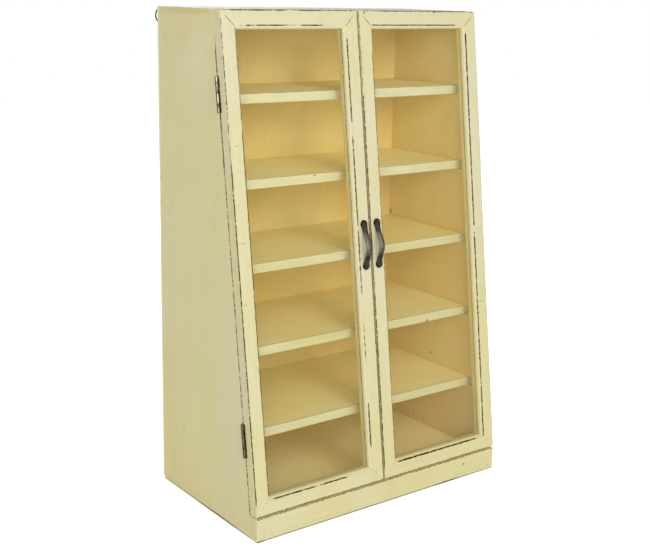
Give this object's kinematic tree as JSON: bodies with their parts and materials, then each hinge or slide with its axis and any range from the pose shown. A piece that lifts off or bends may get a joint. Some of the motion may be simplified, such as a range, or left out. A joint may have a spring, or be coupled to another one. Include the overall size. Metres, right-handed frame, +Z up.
{
  "type": "display case",
  "caption": "Painted wooden display case with a front that leans back, glazed doors, shelves, a plinth and bow handles, for a collection of small pieces.",
  "frame": {"origin": "on the floor, under the middle of the overall box", "axes": "+Z up, -Y towards the front with the doors, +X to the right of a person who faces the doors"},
  "size_m": [0.488, 0.297, 0.754],
  "materials": {
    "cream_paint": "cream paint on wood, rubbed through to dark wood along the edges",
    "shelf_paint": "cream paint on wood, little worn",
    "panel_paint": "cream paint on a thin wooden panel",
    "glass": "clear sheet glass",
    "cast_pewter": "dark, rubbed, hammered casting",
    "antique_brass": "dark antique brass, rubbed brighter along the knuckles",
    "steel_pin": "dull steel",
    "wire_steel": "dull bent wire",
    "nail_steel": "dull steel",
    "screw_brass": "dull brass plating"
  },
  "bodies": {
    "case": {"left_side": "cream_paint", "right_side": "cream_paint", "top_board": "cream_paint", "bottom_board": "shelf_paint", "back_panel": "panel_paint", "plinth_board": "cream_paint", "shelf_1": "shelf_paint", "shelf_2": "shelf_paint", "shelf_3": "shelf_paint", "shelf_4": "shelf_paint", "shelf_5": "shelf_paint", "screw_eye_left": "wire_steel", "screw_eye_right": "wire_steel", "plinth_nails": "nail_steel", "back_panel_pins": "nail_steel", "case_leaf_left_upper": "antique_brass", "case_leaf_left_lower": "antique_brass", "case_leaf_right_upper": "antique_brass", "case_leaf_right_lower": "antique_brass", "hinge_pin_left_upper": "steel_pin", "hinge_pin_left_lower": "steel_pin", "hinge_pin_right_upper": "steel_pin", "hinge_pin_right_lower": "steel_pin", "case_hinge_screws": "screw_brass"},
    "left_door": {"left_outer_stile": "cream_paint", "left_meeting_stile": "cream_paint", "left_top_rail": "cream_paint", "left_bottom_rail": "cream_paint", "left_glass": "glass", "left_bead_outer": "cream_paint", "left_bead_meeting": "cream_paint", "left_bead_top": "cream_paint", "left_bead_bottom": "cream_paint", "left_handle": "cast_pewter", "left_handle_screws": "screw_brass", "door_leaf_left_upper": "antique_brass", "door_leaf_left_lower": "antique_brass", "left_door_hinge_screws": "screw_brass"},
    "right_door": {"right_outer_stile": "cream_paint", "right_meeting_stile": "cream_paint", "right_top_rail": "cream_paint", "right_bottom_rail": "cream_paint", "right_glass": "glass", "right_bead_outer": "cream_paint", "right_bead_meeting": "cream_paint", "right_bead_top": "cream_paint", "right_bead_bottom": "cream_paint", "right_handle": "cast_pewter", "right_handle_screws": "screw_brass", "door_leaf_right_upper": "antique_brass", "door_leaf_right_lower": "antique_brass", "right_door_hinge_screws": "screw_brass"}
  },
  "joints": [
    {"name": "left_door_hinge", "type": "hinge", "parent": "case", "child": "left_door", "pos_m": [-0.2413, -0.07846, 0.39445], "axis": [0, -0.1422, -0.9898], "range_deg": [0, 180]},
    {"name": "right_door_hinge", "type": "hinge", "parent": "case", "child": "right_door", "pos_m": [0.2413, -0.07846, 0.39445], "axis": [0, 0.1422, 0.9898], "range_deg": [0, 180]}
  ]
}
